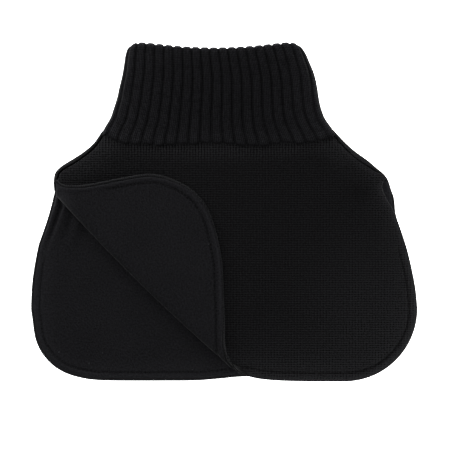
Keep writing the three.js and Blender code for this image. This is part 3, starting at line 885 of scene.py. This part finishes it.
def back_lining():
    """The back's lining, which shows beside the folded corner and at the right side's opening."""
    outline, hem = back_outline(0)
    inside = drawn_in(outline, np.full(len(outline), LINING_INSET))
    points = rings_of(inside, BACK_CENTRE)
    _, from_hem, _, sewn, layers = edge_facts(points, outline, hem)
    edge = edge_distance(points, inside)
    # Painted highlight along the lining's edge
    layers["rim"] = BACK_RIM_HIGHLIGHT * bell(edge / (2 * LINING_RIM))
    inner, outer = lining_faces(edge, from_hem, sewn)
    lift = bib_lift(points) + soft_waves(points) + lining_folds(points)
    places = [np.concatenate([points, (lift + face)[:, None]], axis=1) for face in (outer, inner)]
    return shell("back_lining_cloth", *places, layers)


def round_collar(turn, half, hollow):
    """Walks round a flattened section from the middle of the front: straight front and back joined by half
    circles at the sides. Gives the place on the straight, the angle of the way out, and the radius."""
    radius = hollow + COLLAR_WALL
    straight = half - radius
    bend = np.pi * radius
    run = turn * (4 * straight + 2 * bend)
    right = np.clip((run - straight) / radius, 0, np.pi)
    left = np.clip((run - 3 * straight - bend) / radius, 0, np.pi)
    angle = np.pi / 2 - right - left
    x = np.minimum(run, straight) - np.clip(run - straight - bend, 0, 2 * straight)
    x = x + np.maximum(run - 3 * straight - 2 * bend, 0)
    return x, angle, radius


def on_collar(turn, below, out):
    """Place on the collar: share of a turn from the front's middle, depth below the top, distance out."""
    keys = ("centre", "half", "hollow")
    centre, half, hollow = (look_up(COLLAR_SECTIONS, "below", below, key) for key in keys)
    x, angle, radius = round_collar(turn, half, hollow)
    share = (x + radius * np.cos(angle)) / half
    corner = CORNER_DROP * share**CORNER_POWER * np.maximum(1 - below / CORNER_FADE, 0)
    y = COLLAR_TOP - top_dip(share) - corner - below
    reach = hollow + out
    return np.stack([centre + x + reach * np.cos(angle), y, radius + reach * np.sin(angle)], axis=-1)


def collar_profile(hem):
    """The collar's wall from its hem up, over and down inside: depths, distances out, and the share of the
    rib relief that each point takes. The hem and the top are half circles, the seam and the slit plain."""
    fold = COLLAR_WALL / 2
    slit = LEAF + LEAF_GAP
    middle, half = (COLLAR_WALL + slit) / 2, (COLLAR_WALL - slit) / 2

    def straight(start, end, out, relief, count):
        """Points evenly from one depth to another, all at one distance out and with one share of relief."""
        return [(start * (1 - s) + end * s, out, relief) for s in np.linspace(0, 1, count + 1)]

    top = zip(TOP_TURN, TOP_RELIEF)
    rows = [
        *((hem + half * np.sin(a) - half, middle + half * np.cos(a), np.cos(a)) for a in HEM_TURN[:0:-1]),
        *straight(hem - half, fold, COLLAR_WALL, 1, LEAF_ROWS),
        *((fold - fold * np.sin(a), fold + fold * np.cos(a), relief) for a, relief in top),
        *straight(fold, SEAM_BELOW, 0, -1, INSIDE_ROWS),
        *straight(SEAM_BELOW, SLIT_BELOW, LEAF, 0, SLIT_ROWS),
        *straight(SLIT_BELOW, SEAM_BELOW, slit, 0, SLIT_ROWS),
        *((hem + half * np.sin(a) - half, middle - half * np.cos(a), 0) for a in HEM_TURN[:-1]),
    ]
    return (np.stack([value + 0 * hem for value in column], axis=1) for column in zip(*rows))


def ribbed_collar(rib_depth):
    """The roll collar as one closed tube: columns round the neck, rows along the wall's profile.
    A rib is flat-topped and round-shouldered: its groove is a power of a bell about the rib's joint."""
    ribs = (np.arange(RIBS)[:, None] + RIB_PLACES + RIB_SHIFT).ravel()
    turn = ribs / RIBS % 1
    groove = np.tile(bell(RIB_PLACES / RIB_GROOVE) ** GROOVE_POWER, RIBS)
    lobe = np.tile(np.sqrt(1 - (2 * (RIB_PLACES % 1) - 1) ** 2), RIBS)
    drift = np.repeat(np.sin(LOBE_TURN * np.arange(RIBS)), len(RIB_PLACES))
    half = COLLAR_SECTIONS["half"][-1]
    x, angle, radius = round_collar(turn, half, COLLAR_SECTIONS["hollow"][-1])
    side = (x + radius * np.cos(angle)) / half
    hem = look_up(COLLAR_HEM, "place", side, "below") - LOBE * (1 - lobe) + LOBE_DRIFT * drift
    below, out, share = collar_profile(hem)
    relief = rib_depth * groove[:, None]
    out = out - relief * share
    below = below + relief * np.clip(1 - 2 * below / COLLAR_WALL, 0, 1)
    spread = walked(np.stack([below[0], out[0]], axis=1))
    points = on_collar(turn[:, None], below, out)
    size, rows = below.shape
    column, row = np.meshgrid(np.arange(size), np.arange(rows), indexing="ij")
    here, after = column * rows, (column + 1) % size * rows
    next_row = (row + 1) % rows
    quads = np.stack([here + row, here + next_row, after + next_row, after + row], axis=-1)
    cloth = np.stack(np.broadcast_arrays(ribs[:, None], spread), axis=-1).reshape(-1, 2)[quads]
    cloth[-1, :, 2:, 0] += RIBS
    cloth[:, -1, 1:3, 1] += spread[-1]
    # Painted shade: darker near the hem at both ends of the wall's profile, and in the grooves between the
    # ribs
    painted_hem_shade = bell(spread / HEM_SHADE) + bell((spread - spread[-1]) / HEM_SHADE)
    dark = np.maximum(GROOVE_SHADE * groove[:, None] * np.abs(share), painted_hem_shade)
    # Painted highlight: paler below the top, above the hem and at the sides
    rubbed = sum(highlight * bell(below / depth) for highlight, depth in TOP_HIGHLIGHT)
    rubbed += bell((hem[:, None] - below) / HEM_HIGHLIGHT_REACH) + SIDE_HIGHLIGHT * side[:, None] ** 4
    layers = {"cloth": cloth.reshape(-1, 4, 2), "groove": dark.ravel(), "rubbed": rubbed.ravel()}
    return make_mesh("ribbed_collar_knit", points.reshape(-1, 3), quads.reshape(-1, 4).tolist(), layers)


def stitches(name, line, place, pitch, length, thick):
    """A row of topstitching along a line of the flat cloth: beads that rise out of one hole and dip into the
    next. Bead = line at the run + radius x (cos, sin), with a radius that swells towards its middle."""
    walk = walked(line)
    count = int(walk[-1] / pitch)
    along = np.linspace(0, 1, STITCH_ALONG)
    around = np.linspace(0, 2 * np.pi, STITCH_ROUND, endpoint=False)
    middle = (np.arange(count) + 0.5) * pitch
    foot = at_run(middle[:, None] + length * (along - 0.5), walk, line)
    travel = foot[:, -1:] - foot[:, :1]
    travel /= np.linalg.norm(travel, axis=-1, keepdims=True)
    aside = np.stack([-travel[..., 1], travel[..., 0]], axis=-1)
    swell = thick * np.sqrt(np.sin(np.pi * (STITCH_TIP + (1 - 2 * STITCH_TIP) * along)))
    rise = STITCH_RISE * np.sin(np.pi * along)
    points = foot[:, :, None] + aside[:, :, None] * (swell[:, None] * np.cos(around))[..., None]
    depth = -(rise[:, None] + swell[:, None] * np.sin(around)) + np.zeros(points.shape[:-1])
    vertices = place(points.reshape(-1, 2), depth.ravel())
    base = np.arange(count)[:, None, None, None] * len(along) * len(around)
    ring = np.arange(len(along) - 1)[None, :, None, None] * len(around)
    here = np.arange(len(around))
    quad = np.stack([here, np.roll(here, -1), np.roll(here, -1) + len(around), here + len(around)], axis=1)
    quads = (base + ring + quad).reshape(-1, 4)
    first = (base[:, 0, 0] + here[::-1]).tolist()
    last = (base[:, 0, 0] + (len(along) - 1) * len(around) + here).tolist()
    return make_mesh(name, vertices, [*quads.tolist(), *first, *last], {"cloth": points.reshape(-1, 2)})


class Value:
    """One value in a material's nodes. Arithmetic on it adds Math nodes to the same material."""

    def __init__(self, tree, socket):
        self.tree, self.socket = tree, socket

    def node(self, kind, settings=None, inputs=None, output=0):
        """A node: its type, its settings, the values or links of its sockets, and the output to use."""
        made = self.tree.nodes.new(kind)
        for key, value in (settings or {}).items():
            setattr(made, key, value)
        for key, value in (inputs or {}).items():
            if isinstance(value, Value):
                self.tree.links.new(value.socket, made.inputs[key])
            else:
                made.inputs[key].default_value = value
        return Value(self.tree, made.outputs[output])

    def math(self, operation, *values):
        return self.node("ShaderNodeMath", {"operation": operation}, dict(enumerate(values)))

    def __add__(self, other):
        return self.math("ADD", self, other)

    def __radd__(self, other):
        return self.math("ADD", other, self)

    def __sub__(self, other):
        return self.math("SUBTRACT", self, other)

    def __rsub__(self, other):
        return self.math("SUBTRACT", other, self)

    def __mul__(self, other):
        return self.math("MULTIPLY", self, other)

    def __rmul__(self, other):
        return self.math("MULTIPLY", other, self)

    def __truediv__(self, other):
        return self.math("DIVIDE", self, other)

    def __abs__(self):
        return self.math("ABSOLUTE", self)

    def wave(self):
        """Cosine of whole turns, between 0 and 1."""
        return self.math("COSINE", self * (2 * np.pi)) * 0.5 + 0.5

    def part(self):
        """What is left over after whole numbers."""
        return self.math("FRACT", self)

    def step(self, low, high, start=0.0, end=1.0):
        """Smooth step from one value to another between two limits."""
        inputs = {"Value": self, "From Min": low, "From Max": high, "To Min": start, "To Max": end}
        return self.node("ShaderNodeMapRange", {"interpolation_type": "SMOOTHSTEP"}, inputs)

    def noise(self, scale, detail=2.0):
        """Soft noise over this vector."""
        return self.node("ShaderNodeTexNoise", None, {"Vector": self, "Scale": scale, "Detail": detail})

    def mottle(self, scale, detail=2.0):
        """Noise over this vector, drawn apart to pale and dark."""
        return self.noise(scale, detail).step(*MOTTLE_ENDS)

    def blend(self, colour, other):
        """Mix of a linked colour and a fixed one by this value."""
        return self.node("ShaderNodeMix", {"data_type": "RGBA"}, {0: self, 6: colour, 7: (*other, 1)}, 2)

    def tint(self, colour, shares):
        """Mix of two shares of a colour by this value, which may run past 1."""
        settings = {"data_type": "RGBA", "clamp_factor": False}
        dark, pale = ((*(share * part for part in colour), 1) for share in shares)
        return self.node("ShaderNodeMix", settings, {0: self, 6: dark, 7: pale}, 2)


def new_material(name, settings):
    """A material with its principled shader, whose even values are set on the shader's own sockets."""
    material = bpy.data.materials.new(name)
    material.use_nodes = True
    tree = material.node_tree
    shader = tree.nodes["Principled BSDF"]
    for key, value in settings.items():
        shader.inputs[key].default_value = value
    return material, Value(tree, None), shader


def attach(root, shader, **inputs):
    """Links values to the shader's sockets."""
    for key, value in inputs.items():
        root.tree.links.new(value.socket, shader.inputs[key.replace("_", " ")])


def cloth_place(root):
    """The flat cloth's vector and its two coordinates."""
    vector = root.node("ShaderNodeUVMap", {"uv_map": "cloth"})
    x = root.node("ShaderNodeSeparateXYZ", None, {"Vector": vector}, "X")
    y = root.node("ShaderNodeSeparateXYZ", None, {"Vector": vector}, "Y")
    return vector, x, y


def layer(root, name):
    """One of the mesh's attributes."""
    return root.node("ShaderNodeAttribute", {"attribute_name": name}, None, "Fac")


def stitch_relief(wales, courses):
    """Height of knit stitches: two legs side by side in each wale, slanting into a V at each course."""
    leg = abs(wales.part() - 0.5)
    ridge = 1 - (leg * 4 - 1) * (leg * 4 - 1)
    loop = (courses + leg * 1.1).wave()
    return ridge * (loop * 0.55 + 0.45)


def bump(root, height, distance):
    """Normal bent by a height between 0 and 1 times a distance in metres."""
    inputs = {"Strength": 1.0, "Distance": distance, "Height": height}
    return root.node("ShaderNodeBump", None, inputs, "Normal")


def stitch_line_shade(root):
    """Painted shade along the stitch line of the topstitching, darkest round the needle holes a pitch apart;
    also the dents of the bump there.
    """
    hem, run, sewn = layer(root, "hem"), layer(root, "run"), layer(root, "sewn")
    line = abs(hem - HEM_STITCH).step(*DOT_ENDS, 1, 0)
    hole = abs((run / STITCH_PITCH).part() - 0.5).step(*HOLE_ENDS, HOLE_SHARE, 1)
    return line * hole * sewn


def jersey_material(settings):
    """Black jersey: V stitches in wales and courses, uneven in tone, drawn together under the collar.
    Tone = stitched x paleness + rim - dots, where stitched and paleness are sums of their parts by weight.
    Paleness holds painted light towards the edges, painted light and shade in spots and at the fold's end,
    painted highlight along the rim, and a paler band below the neck seam; rim adds more painted highlight,
    and dots are painted shade along the stitch line."""
    material, root, shader = new_material("black_jersey", CLOTH_SHADER)
    vector, x, y = cloth_place(root)
    wobble = vector.noise(WOBBLE_SCALE) * 0.5
    wales, courses = x / settings.wale + wobble, y / settings.course + wobble
    relief = stitch_relief(wales, courses)
    grid = wales.wave() * 0.35 + courses.wave() * 0.65
    mottle = vector.mottle(JERSEY_MOTTLE)
    gather = layer(root, "neck").step(*GATHER_ENDS, 1, 0)
    drawn = gather * (wales.wave() - 0.5)
    # rim is painted highlight along the edges, and dots painted shade along the stitch line
    rim, dots = layer(root, "rim"), stitch_line_shade(root)
    # Painted light and shade, painted highlight along the rim, and a paler band below the neck seam
    paleness = layer(root, "rubbed") * 0.35 + rim * 0.6 + gather * 0.35 + 0.7
    # The stitches' relief also darkens their hollows as painted shade
    stitched = relief * 0.35 + grid * 0.7 + mottle * 0.5 + drawn * 0.4 - 0.26
    tone = stitched * paleness + rim * 0.25 - dots * 0.4
    colour = tone.step(0.0, 1.0).tint(settings.knit_colour, KNIT_TONES)
    height = relief + mottle * 0.2 - dots - drawn * 0.6
    attach(root, shader, Base_Color=colour, Normal=bump(root, height, KNIT_BUMP))
    return material


def rib_material(settings):
    """Black rib knit: three wales of V stitches to a rib, with painted shade in the grooves between the ribs
    and along the hem. Tone = stitches x what the painted shade of the joint leaves x paleness."""
    material, root, shader = new_material("black_rib_knit", {**CLOTH_SHADER, "Sheen Weight": 0.06})
    _, x, y = cloth_place(root)
    mottle = root.node("ShaderNodeTexCoord", None, None, "Object").mottle(RIB_MOTTLE, 3.0)
    relief = stitch_relief(x * WALES_IN_RIB, y / settings.rib_course + mottle * 0.3)
    # Painted shade in the grooves between the ribs and along the hem
    joint = layer(root, "groove")
    # Painted highlight below the top, above the hem and at the sides
    paleness = layer(root, "rubbed") * 0.3 + 0.92
    # The stitches' relief also darkens their hollows as painted shade
    tone = (relief * 0.7 + mottle * 0.25).step(0.0, 1.1) * (1 - joint * 0.85) * paleness
    colour = tone.tint(settings.rib_colour, KNIT_TONES)
    attach(root, shader, Base_Color=colour, Normal=bump(root, relief + mottle * 0.4, KNIT_BUMP))
    return material


def lining_material(settings):
    """Smooth lining with a fine nap, a few specks of lint and painted shade along the topstitching, darkest
    at its needle holes. Tone = nap + mottle + cloud + paleness - dots, by weight, with the lint over it;
    paleness is painted light and painted highlight, with painted shade on the bend of the folded corner, and
    dots are painted shade."""
    material, root, shader = new_material("napped_lining", {**CLOTH_SHADER, "Sheen Weight": 0.05})
    vector = cloth_place(root)[0]
    nap = vector.noise(NAP_SCALE, 3.0).step(*NAP_ENDS)
    mottle = vector.mottle(LINING_MOTTLE)
    cloud = vector.noise(CLOUD_SCALE)
    dots = stitch_line_shade(root)
    # Painted light, painted highlight along the rims, and painted shade on the bend
    paleness = layer(root, "rubbed") * 0.3 + layer(root, "rim") * 0.4
    tone = nap * 0.4 + mottle * 0.5 + cloud * 0.2 + paleness - dots * 0.4 - 0.12
    lint = vector.noise(LINT_SCALE, 1.0).step(*LINT_ENDS)
    colour = lint.blend(tone.tint(settings.lining_colour, LINING_TONES), settings.lint_colour)
    attach(root, shader, Base_Color=colour, Normal=bump(root, nap - dots, LINING_BUMP))
    return material


def thread_material(settings):
    """Black sewing thread, twisted."""
    material, root, shader = new_material("sewing_thread", CLOTH_SHADER)
    _, x, y = cloth_place(root)
    twist = ((x + y) / THREAD_TWIST).wave()
    attach(root, shader, Base_Color=twist.tint(settings.knit_colour, THREAD_TONES))
    return material


class CollarSettings(PropertyGroup):
    """Sizes and colour of the roll collar."""

    rib_depth: FloatProperty(
        name="Rib depth", description="Depth of the grooves between ribs", default=1.3 * MM, unit="LENGTH"
    )
    rib_course: FloatProperty(
        name="Rib course", description="Height of one stitch of the rib knit", default=2.2 * MM, unit="LENGTH"
    )
    rib_colour: FloatVectorProperty(
        name="Rib colour", description="Colour of the rib knit",
        default=(0.0072, 0.0072, 0.008), size=3, subtype="COLOR",
    )


class BibSettings(PropertyGroup):
    """Stitch sizes and colours of the bibs."""

    wale: FloatProperty(
        name="Wale width", description="Width of one column of jersey stitches",
        default=2.9 * MM, unit="LENGTH",
    )
    course: FloatProperty(
        name="Course height", description="Height of one row of jersey stitches",
        default=2.33 * MM, unit="LENGTH",
    )
    knit_colour: FloatVectorProperty(
        name="Knit colour", description="Colour of the jersey",
        default=(0.0073, 0.0073, 0.0078), size=3, subtype="COLOR",
    )
    lining_colour: FloatVectorProperty(
        name="Lining colour", description="Colour of the lining",
        default=(0.0088, 0.0088, 0.0098), size=3, subtype="COLOR",
    )
    lint_colour: FloatVectorProperty(
        name="Lint colour", description="Colour of the specks of lint",
        default=(0.05, 0.05, 0.055), size=3, subtype="COLOR",
    )


class StitchSettings(PropertyGroup):
    """Sizes of the topstitching."""

    length: FloatProperty(
        name="Stitch length", description="Length of thread that shows in one stitch",
        default=3.0 * MM, unit="LENGTH",
    )
    thick: FloatProperty(
        name="Thread radius", description="Radius of the sewing thread", default=0.26 * MM, unit="LENGTH"
    )


class StageSettings(PropertyGroup):
    """Floor, light and camera."""

    floor_size: FloatProperty(name="Floor size", description="Width of the floor", default=8.0, unit="LENGTH")
    floor_glow: FloatProperty(name="Floor glow", description="Light that the floor gives off", default=2.2)
    sky: FloatProperty(name="Sky", description="Strength of the light from all round", default=0.12)
    key_light: FloatProperty(
        name="Key light", description="Power that the lights take their shares of", default=15.5, unit="POWER"
    )
    camera_height: FloatProperty(
        name="Camera height", description="Height of the camera above the floor", default=1.5, unit="LENGTH"
    )
    view_width: FloatProperty(
        name="View width", description="Width that the camera sees", default=0.45, unit="LENGTH"
    )


def dress(piece, material, slot, *nodes):
    """Gives a finished piece its material and body, and hides the parts of the model that it stands for. The
    slot is not used.
    """
    piece.data.materials.append(material)
    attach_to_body(piece, "root")
    if nodes:
        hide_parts(*nodes)
    return piece


class DICKEY_OT_collar(Operator):
    """Make the ribbed roll collar"""

    bl_idname = "dickey.collar"
    bl_label = "Ribbed collar"

    def execute(self, context):
        settings = context.scene.dickey_collar
        piece = ribbed_collar(settings.rib_depth)
        dress(piece, rib_material(settings), "rib_knit", "ribbed_collar")
        return {"FINISHED"}


class DICKEY_OT_bibs(Operator):
    """Make the knit and the lining of both bibs"""

    bl_idname = "dickey.bibs"
    bl_label = "Lined bibs"

    def execute(self, context):
        settings = context.scene.dickey_bibs
        jersey, smooth = jersey_material(settings), lining_material(settings)
        front, back = front_knit(), back_knit()
        front_inside, back_inside = front_lining(), back_lining()
        dress(front, jersey, "jersey_knit", "front_bib")
        dress(back, jersey, "jersey_knit", "back_bib")
        dress(front_inside, smooth, "lining_cloth", "front_lining")
        dress(back_inside, smooth, "lining_cloth", "back_lining")
        return {"FINISHED"}


class DICKEY_OT_topstitching(Operator):
    """Make the topstitching round the bibs"""

    bl_idname = "dickey.topstitching"
    bl_label = "Topstitching"

    def execute(self, context):
        sizes = context.scene.dickey_stitches
        thread = thread_material(context.scene.dickey_bibs)
        front, back = front_outline()[1], back_outline(0)[1]
        front_line, back_line = (shifted(hem, HEM_STITCH)[SEAM_POINTS] for hem in (front, back))
        runs = (
            ("front_topstitch", front_line, lambda p, d: on_front(p, STITCH_SUNK + d)),
            ("flap_topstitch", front_line, lambda p, d: on_front(p, BIB - STITCH_SUNK - d)),
            ("back_topstitch", back_line, lambda p, d: on_back(p, BIB - STITCH_SUNK - d)),
        )
        for name, line, place in runs:
            piece = stitches(name, line, place, STITCH_PITCH, sizes.length, sizes.thick)
            dress(piece, thread, "jersey_knit")
        return {"FINISHED"}


class DICKEY_OT_stage(Operator):
    """Make the floor, the lights and the camera"""

    bl_idname = "dickey.stage"
    bl_label = "Stage"

    def execute(self, context):
        settings = context.scene.dickey_stage
        half = settings.floor_size / 2
        corners = np.array([(-half, -half, 0), (half, -half, 0), (half, half, 0), (-half, half, 0)])
        floor = make_mesh("floor", corners + (0, 0, -FLOOR_DROP), [(0, 1, 2, 3)], {})
        shader = {"Base Color": (0.9, 0.9, 0.9, 1), "Roughness": 0.7}
        shader.update({"Emission Color": (1, 1, 1, 1), "Emission Strength": settings.floor_glow})
        floor.data.materials.append(new_material("pale_floor", shader)[0])
        world = bpy.data.worlds.new("soft_sky")
        world.use_nodes = True
        world.node_tree.nodes["Background"].inputs["Color"].default_value = (1, 1, 1, 1)
        world.node_tree.nodes["Background"].inputs["Strength"].default_value = settings.sky
        context.scene.world = world
        for name, spot, size, share in LIGHTS:
            light = bpy.data.lights.new(name, "AREA")
            light.shape, light.size, light.energy = "SQUARE", size, settings.key_light * share
            lamp = bpy.data.objects.new(name, light)
            lamp.location = spot
            lamp.visible_camera = False
            lamp.rotation_euler = (-lamp.location).to_track_quat("-Z", "Y").to_euler()
            context.scene.collection.objects.link(lamp)
        lens = bpy.data.cameras.new("camera")
        lens.lens = lens.sensor_width * (settings.camera_height - STACK) / settings.view_width
        camera = bpy.data.objects.new("camera", lens)
        camera.location = (*PHOTO_CENTRE, settings.camera_height)
        context.scene.collection.objects.link(camera)
        context.scene.camera = camera
        context.scene.view_settings.view_transform = "Standard"
        return {"FINISHED"}


class DICKEY_PT_panel(Panel):
    """Sizes, colours and steps of the dickey"""

    bl_idname = "DICKEY_PT_panel"
    bl_label = "Turtleneck dickey"
    bl_space_type = "VIEW_3D"
    bl_region_type = "UI"
    bl_category = "Dickey"

    def draw(self, context):
        for name in GROUPS:
            group = getattr(context.scene, name)
            box = self.layout.box()
            for key in group.bl_rna.properties.keys():
                if key not in ("rna_type", "name"):
                    box.prop(group, key)
        for operator in OPERATORS:
            self.layout.operator(operator.bl_idname)


GROUPS = {
    "dickey_collar": CollarSettings,
    "dickey_bibs": BibSettings,
    "dickey_stitches": StitchSettings,
    "dickey_stage": StageSettings,
}
OPERATORS = (DICKEY_OT_stage, DICKEY_OT_collar, DICKEY_OT_bibs, DICKEY_OT_topstitching)


def register():
    for group in (*GROUPS.values(), *OPERATORS, DICKEY_PT_panel):
        bpy.utils.register_class(group)
    for name, group in GROUPS.items():
        setattr(bpy.types.Scene, name, PointerProperty(type=group))


def unregister():
    for name in GROUPS:
        delattr(bpy.types.Scene, name)
    for group in (DICKEY_PT_panel, *OPERATORS, *GROUPS.values()):
        bpy.utils.unregister_class(group)


def main():
    register()
    bpy.ops.dickey.stage()
    bpy.ops.dickey.collar()
    bpy.ops.dickey.bibs()
    bpy.ops.dickey.topstitching()


if __name__ == "__main__":
    main()
